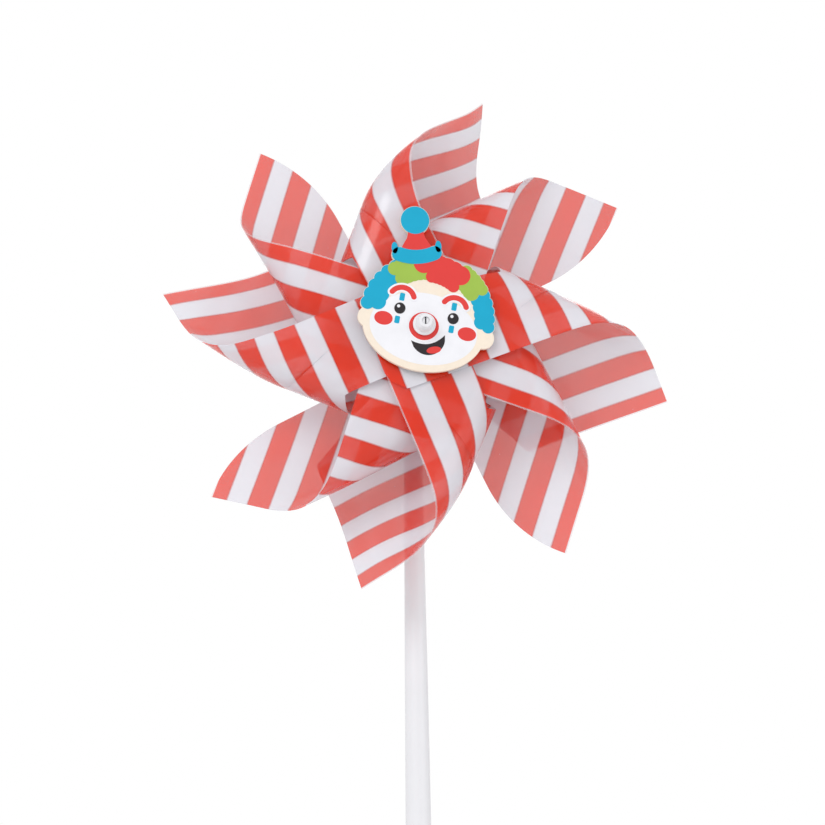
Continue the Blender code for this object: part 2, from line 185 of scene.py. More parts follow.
# Each tuft: name, colour, level, outer arc (radius, start, sweep, lobes, lobe radius), inner arc
TUFTS = (
    ("blue_left", "blue", 1, (18.9, 130.0, 46.0, 6, 2.2), (15.9, 134.0, 38.0, 5, 2.6)),
    ("blue_right", "blue", 1, (19.7, 2.0, 38.0, 6, 2.0), (17.4, 6.0, 32.0, 5, 2.3)),
    ("green_left", "green", 2, (18.5, 112.0, 20.0, 4, 2.2), (14.6, 100.0, 30.0, 5, 2.4)),
    ("green_right", "green", 2, (20.0, 38.0, 22.0, 5, 1.9), (16.4, 40.0, 19.0, 4, 2.5)),
    ("red_middle", "red", 3, (17.6, 62.0, 40.0, 6, 3.2), (13.4, 60.0, 32.0, 6, 1.9)),
)
INK_STEP, PRINT_SINK = 0.035, 0.02
LOBE_STEP = 0.006
LOBE_SIDES, TUFT_ARC_POINTS, WELD_DISTANCE = 36, 128, 1e-7
CARD_MARGIN, LOBE_MARGIN = 0.15, 0.12
BADGE_TURN = math.radians(-10.7)
CARD_BACK, CARD_FRONT = stretch("face_badge")

# Stick, cap and pin
STICK_RINGS, STICK_SIDES = 602, 64
ROD_TOP_SHARE, NECK_SHARE, TUBE_EDGE_SHARE = 0.6, 2 / 3, 0.6
NOSE_DOME_SHARE, NOSE_RIM_SHARE = 0.79, 0.20
NOSE_FILLET, NOSE_LIP = 0.25 * MM, 0.30 * MM
DOME_STEPS, DOME_START, DOME_SWEEP = 16, 5.0, 60.0
PIN_GAP, PIN_CHAMFER, PIN_HEAD_THICKNESS = 0.3 * MM, 0.3 * MM, 2.0 * MM
SPLIT_WIDTH, SPLIT_DEPTH = 0.5 * MM, 5.0 * MM

# Camera and stage
VIEW_AZIMUTH, VIEW_ELEVATION = math.radians(-5.44), math.radians(-14.0)
VIEW_DISTANCE = 0.9
VIEW_AIM = 18.4 * MM
VIEW_ROLL = math.radians(-0.83)
SENSOR_WIDTH, LENS = 36.0, 119.9
WHITE = (1.0, 1.0, 1.0, 1.0)
# Each lamp: name, place, size, share of the key light's power
LAMPS = (
    ("key_light", (-0.9, -1.3, 1.1), 0.9, 1.0),
    ("fill_light", (1.2, -1.0, 0.5), 1.2, 0.35),
    ("back_light", (0.3, 1.2, 0.9), 1.0, 0.5),
)


# ---- shader graphs


class Value:
    """A shader socket that Python arithmetic works on: each step adds a Math node."""

    def __init__(self, graph, socket):
        self.graph, self.socket = graph, socket

    def __add__(self, other):
        return self.graph.math("ADD", self, other)

    def __radd__(self, other):
        return self.graph.math("ADD", other, self)

    def __sub__(self, other):
        return self.graph.math("SUBTRACT", self, other)

    def __rsub__(self, other):
        return self.graph.math("SUBTRACT", other, self)

    def __mul__(self, other):
        return self.graph.math("MULTIPLY", self, other)

    def __rmul__(self, other):
        return self.graph.math("MULTIPLY", other, self)


class Nodes:
    """A node tree, emptied, and the calls that add to it."""

    def __init__(self, tree):
        self.tree = tree
        tree.nodes.clear()

    def node(self, kind, settings=None, **inputs):
        """A node of this kind. Settings come first, then the values or links of its sockets."""
        made = self.tree.nodes.new(kind)
        for name, value in (settings or {}).items():
            setattr(made, name, value)
        for name, value in inputs.items():
            key = int(name[1:]) if name[0] == "i" and name[1:].isdigit() else name.replace("_", " ")
            self.feed(made.inputs[key], value)
        return made

    def feed(self, socket, value):
        value = value.socket if isinstance(value, Value) else value
        if isinstance(value, bpy.types.NodeSocket):
            self.tree.links.new(value, socket)
        else:
            socket.default_value = value


class Graph(Nodes):
    """The node tree of one new material."""

    def __init__(self, name):
        self.material = bpy.data.materials.new(name)
        self.material.use_nodes = True
        super().__init__(self.material.node_tree)

    def math(self, operation, first, second=0.0):
        made = self.node("ShaderNodeMath", {"operation": operation}, i0=first, i1=second)
        return Value(self, made.outputs[0])

    def smooth(self, value, low, high):
        settings = {"interpolation_type": "SMOOTHSTEP"}
        made = self.node("ShaderNodeMapRange", settings, Value=value, From_Min=low, From_Max=high)
        return Value(self, made.outputs["Result"])

    def object_place(self):
        return self.node("ShaderNodeTexCoord").outputs["Object"]

    def noise(self, place, scale, detail=3.0, roughness=0.5):
        made = self.node(
            "ShaderNodeTexNoise", Vector=place, Scale=scale, Detail=detail, Roughness=roughness
        )
        return Value(self, made.outputs["Fac"])

    def mix(self, share, first, second):
        made = self.node("ShaderNodeMix", {"data_type": "RGBA"}, i0=share, i6=first, i7=second)
        return made.outputs[2]

    def bump(self, height, distance, strength=1.0):
        made = self.node("ShaderNodeBump", Height=height, Distance=distance, Strength=strength)
        return made.outputs["Normal"]

    def finish(self, **inputs):
        """The Principled shader and the output, and the finished material."""
        shader = self.node("ShaderNodeBsdfPrincipled", **inputs)
        self.node("ShaderNodeOutputMaterial", Surface=shader.outputs[0])
        return self.material


def opaque(colour, factor=1.0):
    return tuple(channel * factor for channel in colour[:3]) + (1.0,)


def film_material(settings):
    """Glossy printed film: stripes across the map's second direction, a dark line where the inks
    meet, a clear margin at the cut edge, and rare small pale specks that are painted glints."""
    graph = Graph("striped_film")
    uv = graph.node("ShaderNodeUVMap", {"uv_map": "film"}).outputs["UV"]
    parts = graph.node("ShaderNodeSeparateXYZ", Vector=uv)
    inward = Value(graph, parts.outputs["Y"])
    place = graph.object_place()
    width = settings.stripe_width * UV_METRES
    edge_shift = (settings.stripe_width - settings.edge_stripe) * UV_METRES
    wobble = (graph.noise(uv, 90.0, 2.0) - 0.5) * (0.12 * MM * UV_METRES)
    phase = graph.math("WRAP", inward + (edge_shift + 40.0 * width) + wobble, 2.0 * width)
    phase.socket.node.inputs[2].default_value = 0.0
    line = settings.line_width * UV_METRES
    red_share = 1.0 - graph.smooth(phase, width - line * 0.3, width + line * 0.3)
    first_edge = graph.math("ABSOLUTE", phase - width)
    other_edge = graph.math("MINIMUM", phase, 2.0 * width - phase)
    to_edge = graph.math("MINIMUM", first_edge, other_edge)
    ink_line = 1.0 - graph.smooth(to_edge, line * 0.25, line * 0.75)
    cloudy = graph.noise(place, 55.0, 4.0)
    red = graph.mix(cloudy, opaque(settings.red, 0.90), opaque(settings.red, 1.08))
    white = graph.mix(cloudy, opaque(settings.white, 0.95), opaque(settings.white, 1.02))
    colour = graph.mix(red_share, white, red)
    colour = graph.mix(ink_line * 0.55, colour, opaque(settings.red, 0.72))
    margin = 1.0 - graph.smooth(inward, 0.30 * MM * UV_METRES, 0.55 * MM * UV_METRES)
    # Painted glints: rare small pale specks, paler and more see-through than the ink round them.
    glint_cells = graph.node("ShaderNodeTexVoronoi", Vector=uv, Scale=55.0, Randomness=1.0)
    painted_glint = 1.0 - graph.smooth(Value(graph, glint_cells.outputs["Distance"]), 0.035, 0.06)
    rare = graph.smooth(graph.noise(uv, 14.0, 1.0), 0.60, 0.66)
    bare = graph.math("MAXIMUM", margin, painted_glint * rare)
    # bare holds both the clear margin at the cut edge and the painted glints; both get a pale
    # colour and a lower alpha.
    colour = graph.mix(bare * 0.85, colour, (0.86, 0.84, 0.88, 1.0))
    alpha = red_share * settings.red_density + (1.0 - red_share) * settings.white_density
    alpha = alpha - bare * 0.35
    ripple = graph.noise(place, 38.0, 2.0) + graph.noise(uv, 160.0, 2.0) * 0.05
    return graph.finish(
        Base_Color=colour,
        Roughness=0.13 + graph.noise(place, 120.0, 3.0) * 0.10,
        Alpha=alpha,
        Normal=graph.bump(ripple, 0.9 * MM, 0.35),
        IOR=1.53,
        Coat_Weight=0.15,
        Coat_Roughness=0.06,
    )


def plastic_material(name, colour, roughness):
    """Moulded plastic: faint flow marks along the piece, a fine skin and slightly uneven gloss."""
    graph = Graph(name)
    place = graph.object_place()
    drawn = graph.node("ShaderNodeMapping", Vector=place, Scale=(1.0, 1.0, 0.06)).outputs[0]
    flow = graph.noise(drawn, 260.0, 3.0)
    cloud = graph.noise(place, 60.0, 3.0)
    skin = graph.noise(place, 1400.0, 2.0)
    shade = graph.mix(cloud * 0.6 + flow * 0.4, opaque(colour, 0.94), opaque(colour, 1.03))
    return graph.finish(
        Base_Color=shade,
        Roughness=roughness + (flow - 0.5) * 0.16 + (skin - 0.5) * 0.06,
        Normal=graph.bump(flow * 0.7 + skin * 0.3, 0.05 * MM, 0.5),
        IOR=1.5,
        Subsurface_Weight=0.08,
        Subsurface_Radius=(0.002, 0.002, 0.002),
    )


def card_material(colour):
    """The card's cut edge and bare board: short fibres and faint layers."""
    graph = Graph("card_board")
    place = graph.object_place()
    layered = graph.node("ShaderNodeMapping", Vector=place, Scale=(1.0, 14.0, 1.0)).outputs[0]
    layers = graph.noise(layered, 260.0, 3.0)
    fibres = graph.noise(place, 900.0, 4.0, 0.65)
    shade = graph.mix(layers * 0.5 + fibres * 0.5, opaque(colour, 0.88), opaque(colour, 1.04))
    return graph.finish(
        Base_Color=shade,
        Roughness=0.55 + (fibres - 0.5) * 0.2,
        Normal=graph.bump(fibres * 0.6 + layers * 0.4, 0.06 * MM, 0.6),
    )


def ink_material(name, colour):
    """Printed ink on smooth board: a little mottle, fine grain and soft gloss."""
    graph = Graph(name)
    place = graph.object_place()
    mottle = graph.noise(place, 180.0, 4.0, 0.6)
    grain = graph.noise(place, 2200.0, 2.0)
    shade = graph.mix(mottle, opaque(colour, 0.93), opaque(colour, 1.05))
    return graph.finish(
        Base_Color=shade,
        Roughness=0.42 + (mottle - 0.5) * 0.12 + (grain - 0.5) * 0.08,
        Specular_IOR_Level=0.35,
        Normal=graph.bump(grain * 0.4 + mottle * 0.6, 0.03 * MM, 0.5),
    )


def stage_material(name, colour):
    """A pale, very slightly uneven matt surface."""
    graph = Graph(name)
    cloud = graph.noise(graph.object_place(), 3.0, 2.0)
    shade = graph.mix(cloud, opaque(colour, 0.985), opaque(colour, 1.0))
    return graph.finish(Base_Color=shade, Roughness=0.8)


# ---- mesh helpers


def object_of(mesh, name, *materials):
    made = bpy.data.objects.new(name, mesh)
    bpy.context.scene.collection.objects.link(made)
    for finish in materials:
        mesh.materials.append(finish)
    return made


def object_from(bm, name, *materials):
    mesh = bpy.data.meshes.new(name)
    bm.to_mesh(mesh)
    bm.free()
    return object_of(mesh, name, *materials)


def settled(piece):
    """Turns the piece's modifiers into a plain mesh."""
    graph = bpy.context.evaluated_depsgraph_get()
    mesh = bpy.data.meshes.new_from_object(piece.evaluated_get(graph), depsgraph=graph)
    mesh.name = piece.name
    piece.modifiers.clear()
    piece.data = mesh
    return piece


def smooth_shaded(piece, angle=SHARP_ANGLE):
    piece.data.shade_smooth()
    piece.data.set_sharp_from_angle(angle=math.radians(angle))
    return piece


def combined(piece, steps):
    """The piece after its Booleans, each an operation and a helper, which is then removed."""
    for operation, helper in steps:
        modifier = piece.modifiers.new(helper.name, "BOOLEAN")
        modifier.operation = operation
        modifier.solver = "EXACT"
        modifier.object = helper
    settled(piece)
    for _, helper in steps:
        bpy.data.objects.remove(helper, do_unlink=True)
    return piece


def attach(piece, body, slot, *nodes):
    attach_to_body(piece, body)
    if nodes:
        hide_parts(*nodes)


def turned(name, profile, sides, finish):
    """A solid of revolution about the axle from a closed loop of (radius, station) points. Points
    of radius 0 lie on the axle."""
    bm = bmesh.new()
    rings = []
    for radius, station in profile:
        count = 1 if radius == 0.0 else sides
        ring = []
        for side in range(count):
            angle = math.tau * side / sides
            x, z = radius * math.cos(angle), radius * math.sin(angle)
            ring.append(bm.verts.new((x, -station, HUB_HEIGHT + z)))
        rings.append(ring)
    if profile[0][0] != 0.0:
        rings.append(rings[0])
    for near, far in zip(rings, rings[1:]):
        for side in range(sides):
            after = (side + 1) % sides
            corners = [near[side % len(near)], near[after % len(near)]]
            corners += [far[after % len(far)], far[side % len(far)]]
            bm.faces.new(list(dict.fromkeys(corners)))
    bmesh.ops.recalc_face_normals(bm, faces=bm.faces)
    return smooth_shaded(object_from(bm, name, finish))


def polar(centre, radius, degrees):
    angle = math.radians(degrees)
    return (centre[0] + radius * math.cos(angle), centre[1] + radius * math.sin(angle))


def fillet(corner, radius, start, end, steps=5):
    """Points of a round of this radius about a corner's centre, between two angles in degrees."""
    angles = (start + (end - start) * step / steps for step in range(steps + 1))
    return [polar(corner, radius, angle) for angle in angles]


def rounded_tube(inner, outer, back, front, edge):
    """The profile of a tube whose outer rims are rounded."""
    points = [(inner, back)]
    points += fillet((outer - edge, back + edge), edge, -90.0, 0.0)
    points += fillet((outer - edge, front - edge), edge, 0.0, 90.0)
    points.append((inner, front))
    return points


# ---- films


def smooth_share(low, high, value):
    share = np.clip((value - low) / (high - low), 0.0, 1.0)
    return share * share * (3.0 - 2.0 * share)


def tip_radius(sheet):
    return sheet["half_diagonal"] / (math.cos(sheet["tip_angle"]) + math.sin(sheet["tip_angle"]))


def rim_radius(sheet, angle):
    """How far the square reaches at an angle from the arm's bend line, its corner trimmed round."""
    square = sheet["half_diagonal"] / (abs(math.cos(angle)) + math.sin(angle))
    return min(square, sheet["half_diagonal"] - CORNER_TRIM)


def straight_slit(sheet, radius):
    """The slit runs parallel to the side for its length and then straight to the centre."""
    reach, step = tip_radius(sheet), sheet["slit_size"] / math.sqrt(2.0)
    foot_t = reach * math.cos(sheet["tip_angle"]) - step
    foot_s = reach * math.sin(sheet["tip_angle"]) - step
    spare = radius**2 - foot_t**2 - foot_s**2
    if spare <= 0.0:
        return math.atan2(foot_s, foot_t)
    half_sum = foot_t + foot_s
    along = (math.sqrt(half_sum**2 + 2.0 * spare) - half_sum) / 2.0
    return math.atan2(foot_s + along, foot_t + along)


def leaf_slit(sheet, radius):
    """The slit follows an arc from the tip and then a line beside the bend line to the centre."""
    offset, reach = sheet["slit_size"], tip_radius(sheet)
    tip_t, tip_s = reach * math.cos(sheet["tip_angle"]), reach * math.sin(sheet["tip_angle"])
    bow = (tip_s - offset) / (1.0 - math.sqrt(0.5))
    centre_t, centre_s = tip_t - bow * math.sqrt(0.5), offset + bow
    if radius <= math.hypot(centre_t, offset):
        return math.asin(offset / radius)
    away = math.hypot(centre_t, centre_s)
    share = (radius**2 - away**2 - bow**2) / (2.0 * bow * away)
    turn = math.atan2(centre_s, centre_t) + math.asin(min(max(share, -1.0), 1.0))
    return math.atan2(centre_s - bow * math.cos(turn), centre_t + bow * math.sin(turn))


def flat_grid(sheet):
    """Radius and angle of every point of an arm on the flat film, row by row from the disc."""
    slit = leaf_slit if sheet["slit"] == "leaf" else straight_slit
    reach, tip = tip_radius(sheet), sheet["tip_angle"]
    shares = [index / ARM_STEPS_ACROSS for index in range(ARM_STEPS_ACROSS + 1)]
    radii, angles = [], []
    for index in range(ARM_STEPS_OUT + 1):
        out = index / ARM_STEPS_OUT
        inner = DISC_RADIUS + (reach - DISC_RADIUS) * out
        start = slit(sheet, inner)
        held = 1.0 - float(smooth_share(RELIEF_START, RELIEF_END, inner))
        low = start + sheet["relief"][0] * held
        high = start + math.pi / 2 - sheet["relief"][1] * held
        rims = [rim_radius(sheet, tip + math.pi / 2 * share) for share in shares]
        radii.append([DISC_RADIUS + (rim - DISC_RADIUS) * out for rim in rims])
        angles.append([low + (high - low) * share for share in shares])
    return np.array(radii), np.array(angles)


def curl_sizes(height):
    """Flat length and radius of the curl, so that the hole comes to rest over the hub."""
    sine, cosine = math.sin(PITCH_ANGLE), math.cos(PITCH_ANGLE)
    turn = math.pi - PITCH_ANGLE
    radius = (HOLE_DISTANCE * sine - height * (1.0 + cosine)) / (
        sine * (turn - sine) - (1.0 + cosine) ** 2
    )
    return (height - radius * (1.0 + cosine)) / sine, radius


def curled(height, lean, along, across):
    """Across and forward places of film points after the curl, by adding up the slopes."""
    straight, radius = curl_sizes(height)
    step = across / CURVE_STEPS
    side, forward = np.zeros_like(across), np.zeros_like(across)
    share = lean * smooth_share(LEAN_FROM, LEAN_TO, along)
    for index in range(CURVE_STEPS):
        reached = step * (index + 0.5)
        slope = PITCH_ANGLE + np.clip((reached - straight) / radius, 0.0, math.pi - PITCH_ANGLE)
        slope = slope + share * (1.0 - smooth_share(LEAN_FADE_FROM, LEAN_FADE_TO, reached))
        slope = slope * (1.0 - smooth_share(0.0, BACK_FADE, -reached))
        side += step * np.cos(slope)
        forward += step * np.sin(slope)
    return side, forward


def arm_points(sheet, bend, height, lean, station, along_slit):
    """The arm's points in space, and their places on the stripes' map."""
    radius, angle = flat_grid(sheet)
    along, across = radius * np.cos(angle), radius * np.sin(angle)
    side, forward = curled(height, lean, along, across)
    free = smooth_share(DISC_RADIUS, FREE_RADIUS, radius)
    side = across + (side - across) * free
    x = along * math.cos(bend) - side * math.sin(bend)
    z = along * math.sin(bend) + side * math.cos(bend)
    places = np.stack((x, -(station + forward * free), HUB_HEIGHT + z), axis=-1)
    reach, tip = tip_radius(sheet), sheet["tip_angle"]
    if along_slit:
        inward = (reach * (math.cos(tip) - math.sin(tip)) - (along - across)) / math.sqrt(2.0)
        beside = (along + across) / math.sqrt(2.0)
    else:
        inward = (sheet["half_diagonal"] - (along + across)) / math.sqrt(2.0)
        beside = (along - across) / math.sqrt(2.0)
    return places, np.stack((beside, inward), axis=-1) * UV_METRES


def add_arm(bm, layer, places, maps):
    """The arm's faces with their stripe map, and the vertices of its root."""
    rows = [[bm.verts.new(place) for place in row] for row in places]
    for low in range(len(rows) - 1):
        for index in range(len(rows[0]) - 1):
            corners = ((low, index), (low, index + 1), (low + 1, index + 1), (low + 1, index))
            face = bm.faces.new([rows[row][column] for row, column in corners])
            for loop, (row, column) in zip(face.loops, corners):
                loop[layer].uv = maps[row][column]
    return rows[0]


def add_disc(bm, layer, roots, station):
    """The ring between the hub hole and the arms' roots."""
    hub = Vector((0.0, -station, HUB_HEIGHT))
    ring = []
    for root, after in zip(roots, roots[1:] + roots[:1]):
        ring.extend(root)
        first, last = root[-1].co - hub, after[0].co - hub
        start = math.atan2(first.z, first.x)
        gap = (math.atan2(last.z, last.x) - start) % math.tau
        for step in range(1, GAP_STEPS + 1):
            angle = start + gap * step / (GAP_STEPS + 1)
            spoke = Vector((math.cos(angle), 0.0, math.sin(angle)))
            ring.append(bm.verts.new(hub + spoke * DISC_RADIUS))
    share = FILM_HOLE_RADIUS / DISC_RADIUS
    hole = [bm.verts.new(hub + (outer.co - hub) * share) for outer in ring]
    for index in range(len(ring)):
        after = (index + 1) % len(ring)
        face = bm.faces.new((hole[index], hole[after], ring[after], ring[index]))
        for loop in face.loops:
            place = loop.vert.co - hub
            loop[layer].uv = (place.x * UV_METRES, (place.z + 3 * DISC_RADIUS) * UV_METRES)


def film_piece(order, sheet, finish):
    """One film with its thickness and the holes in its pierced corners."""
    station = REAR_SHEET + order * LAYER_PITCH
    bm = bmesh.new()
    layer = bm.loops.layers.uv.new("film")
    roots = []
    for arm, (turn, lean) in enumerate(sheet["arms"]):
        bend = sheet["first_bend"] + math.pi / 2 * arm + math.radians(turn)
        tab = REAR_SHEET + FIRST_TAB_HEIGHT + (order * ARM_COUNT + arm) * LAYER_PITCH
        along_slit = (arm % 2 == 0) == sheet["first_along_slit"]
        shape = arm_points(sheet, bend, tab - station, math.radians(lean), station, along_slit)
        roots.append(add_arm(bm, layer, *shape))
    add_disc(bm, layer, roots, station)
    bmesh.ops.recalc_face_normals(bm, faces=bm.faces)
    film = object_from(bm, "film_" + sheet["name"].split("_")[-1], finish)
    solidify = film.modifiers.new("thickness", "SOLIDIFY")
    solidify.thickness = SHOWN_THICKNESS
    solidify.offset = 0.0
    first = REAR_SHEET + FIRST_TAB_HEIGHT
    last = first + (len(SHEETS) * ARM_COUNT - 1) * LAYER_PITCH
    back, front = first - LAYER_PITCH, last + LAYER_PITCH
    profile = ((0.0, back), (FILM_HOLE_RADIUS, back), (FILM_HOLE_RADIUS, front), (0.0, front))
    punch = turned("punch", profile, HOLE_SIDES, finish)
    return smooth_shaded(combined(film, [("DIFFERENCE", punch)]), FILM_SHARP_ANGLE)


# ---- badge


def badge_place(across, up, station):
    """A badge point, in millimetres across and up, in the frame."""
    across, up = across * MM, up * MM
    x = across * math.cos(BADGE_TURN) - up * math.sin(BADGE_TURN)
    z = across * math.sin(BADGE_TURN) + up * math.cos(BADGE_TURN)
    return Vector((x, -station, HUB_HEIGHT + z))


def oval(shape, grow=0.0, sides=OVAL_SIDES):
    across, up, half_width, half_height = shape
    points = []
    for side in range(sides):
        angle = math.tau * side / sides
        x = across + (half_width + grow) * math.cos(angle)
        points.append((x, up + (half_height + grow) * math.sin(angle)))
    return points


def band(centre, radius, width, start, end, grow=0.0, steps=20, cap_steps=8):
    """An arc-shaped stroke with round ends."""
    half = width / 2 + grow
    points = fillet(centre, radius + half, start, end, steps)
    points += fillet(polar(centre, radius, end), half, end, end + 180.0, cap_steps)[1:-1]
    points += fillet(centre, radius - half, end, start, steps)
    cap, turn = polar(centre, radius, start), start + 180.0
    points += fillet(cap, half, turn, turn + 180.0, cap_steps)[1:-1]
    return points


def dash(across, low, high, corner=0.35):
    """An upright bar with rounded corners."""
    half = DASH_HALF_WIDTH - corner
    points = []
    for right, top, start in ((1, 1, 0.0), (-1, 1, 90.0), (-1, -1, 180.0), (1, -1, 270.0)):
        place = (across + right * half, high - corner if top > 0 else low + corner)
        points += fillet(place, corner, start, start + 90.0)
    return points


def crescent(grow=0.0, steps=28):
    """The mouth: a shallow upper curve and a deep lower one between two corners."""
    reach = MOUTH_HALF_WIDTH + grow
    upper, lower = [], []
    for step in range(steps + 1):
        x = -reach + 2.0 * reach * step / steps
        share = 1.0 - (x / reach) ** 2
        upper.append((x, grow - MOUTH_UPPER * share))
        lower.append((x, grow * (1.0 - 2.0 * math.sqrt(share)) - MOUTH_LOWER * math.sqrt(share)))
    return upper + lower[-2:0:-1]


def moved(outline, place, turn):
    cosine, sine = math.cos(turn), math.sin(turn)
    right, up = place
    return [(right + x * cosine - y * sine, up + x * sine + y * cosine) for x, y in outline]


def in_hat(outline):
    return moved(outline, HAT_PLACE, HAT_TURN)


def in_mouth(outline):
    return moved(outline, MOUTH_PLACE, MOUTH_TURN)


def brim_outline(grow=0.0):
    start, end = 270.0 - BRIM_SPAN, 270.0 + BRIM_SPAN
    return in_hat(band(BRIM_CENTRE, BRIM_RADIUS, BRIM_WIDTH, start, end, grow))


def add_prism(bm, outline, back, front):
    """A flat shape from its outline, between two stations."""
    face = bm.faces.new([bm.verts.new(badge_place(x, y, front)) for x, y in outline])
    made = bmesh.ops.extrude_face_region(bm, geom=[face])
    verts = [item for item in made["geom"] if isinstance(item, bmesh.types.BMVert)]
    bmesh.ops.translate(bm, vec=(0.0, front - back, 0.0), verts=verts)


def prisms(name, outlines, back, front, finish):
    bm = bmesh.new()
    for outline in outlines:
        add_prism(bm, outline, back, front)
    bmesh.ops.recalc_face_normals(bm, faces=bm.faces)
    return object_from(bm, name, finish)


def lobes_of(tuft):
    """The round lobes of a tuft as ovals, for the card that backs it."""
    found = []
    for radius, start, sweep, count, lobe in tuft[3:]:
        for index in range(count):
            place = polar(HAIR_CENTRE, radius, start + sweep * index / (count - 1))
            found.append((*place, lobe, lobe))
    return found


def card_piece(finish):
    """The die-cut card: the face, ears, hair, hat and pompom in one outline, with its axle hole."""
    shapes = [oval(CROWN_OVAL), brim_outline(CARD_MARGIN), in_hat(HAT_CONE)]
    shapes.append(in_hat(oval(POMPOM, CARD_MARGIN)))
    shapes += [oval(ear, 0.0, EAR_SIDES) for ear in EARS]
    for tuft in TUFTS:
        shapes += [oval(lobe, LOBE_MARGIN, LOBE_BACK_SIDES) for lobe in lobes_of(tuft)]
    card = prisms("badge_card", [oval(FACE_OVAL)], CARD_BACK, CARD_FRONT, finish)
    steps = []
    for shape in shapes:
        steps.append(("UNION", prisms("card_shape", [shape], CARD_BACK, CARD_FRONT, finish)))
    bore, back, front = bore_of("nose_cap"), CARD_BACK - MM, CARD_FRONT + MM
    profile = ((0.0, back), (bore, back), (bore, front), (0.0, front))
    steps.append(("DIFFERENCE", turned("card_hole", profile, HOLE_SIDES, finish)))
    return combined(card, steps)


def ink(name, outlines, level, finish):
    """One printed shape, raised on the card by its level."""
    back, front = CARD_FRONT - PRINT_SINK * MM, CARD_FRONT + INK_STEP * level * MM
    piece = prisms("print_" + name, outlines, back, front, finish)
    attach(piece, BADGE, CARD_SLOT)
    return piece


# ---- geometry node trees


class Tree(Nodes):
    """A Geometry Nodes tree with named inputs, and a modifier that runs it."""

    def __init__(self, name, inputs):
        super().__init__(bpy.data.node_groups.new(name, "GeometryNodeTree"))
        self.ids = {}
        face = self.tree.interface
        for label, kind in inputs:
            made = face.new_socket(label, in_out="INPUT", socket_type=kind)
            self.ids[label] = made.identifier
        face.new_socket("Geometry", in_out="OUTPUT", socket_type="NodeSocketGeometry")
        self.inputs = self.node("NodeGroupInput").outputs

    def math(self, operation, first, second=0.0):
        return self.node("ShaderNodeMath", {"operation": operation}, i0=first, i1=second).outputs[0]

    def end(self, geometry):
        """Ends the tree in Realize Instances and Set Material."""
        real = self.node("GeometryNodeRealizeInstances", Geometry=geometry).outputs[0]
        finish = self.inputs["Material"]
        painted = self.node("GeometryNodeSetMaterial", Geometry=real, Material=finish)
        self.node("NodeGroupOutput", i0=painted.outputs[0])

    def make(self, name, values):
        """A plain mesh object made by the tree with these values."""
        piece = object_of(bpy.data.meshes.new(name), name)
        modifier = piece.modifiers.new("maker", "NODES")
        modifier.node_group = self.tree
        for label, value in values.items():
            modifier[self.ids[label]] = value
        return settled(piece)


def stick_tree():
    """A tapered rod up its own axis: a line of points whose radius follows the taper, rounded at
    the foot, swept by a circle."""
    floats = ("Length", "Foot Radius", "Neck Radius", "Rounding")
    inputs = [(label, "NodeSocketFloat") for label in floats]
    tree = Tree("tapered_stick", inputs + [("Material", "NodeSocketMaterial")])
    given = tree.inputs
    top = tree.node("ShaderNodeCombineXYZ", Z=given["Length"]).outputs[0]
    line = tree.node("GeometryNodeCurvePrimitiveLine", {"mode": "POINTS"}, End=top).outputs[0]
    rings = tree.node("GeometryNodeResampleCurve", Curve=line, Count=STICK_RINGS).outputs[0]
    along = tree.node("GeometryNodeSplineParameter").outputs["Length"]
    share = tree.math("DIVIDE", along, given["Length"])
    fall = tree.math("SUBTRACT", given["Foot Radius"], given["Neck Radius"])
    taper = tree.math("SUBTRACT", given["Foot Radius"], tree.math("MULTIPLY", fall, share))
    near = tree.math("SUBTRACT", 1.0, tree.math("DIVIDE", along, given["Rounding"]))
    near = tree.math("MAXIMUM", near, 0.0)
    left = tree.math("SUBTRACT", 1.0, tree.math("MULTIPLY", near, near))
    cut = tree.math("SUBTRACT", 1.0, tree.math("SQRT", left))
    radius = tree.math("SUBTRACT", taper, tree.math("MULTIPLY", cut, given["Rounding"]))
    circle = tree.node("GeometryNodeCurvePrimitiveCircle", Resolution=STICK_SIDES, Radius=1.0)
    ring = circle.outputs[0]
    swept = tree.node(
        "GeometryNodeCurveToMesh", Curve=rings, Profile_Curve=ring, Scale=radius, Fill_Caps=True
    )
    tree.end(swept.outputs[0])
    return tree


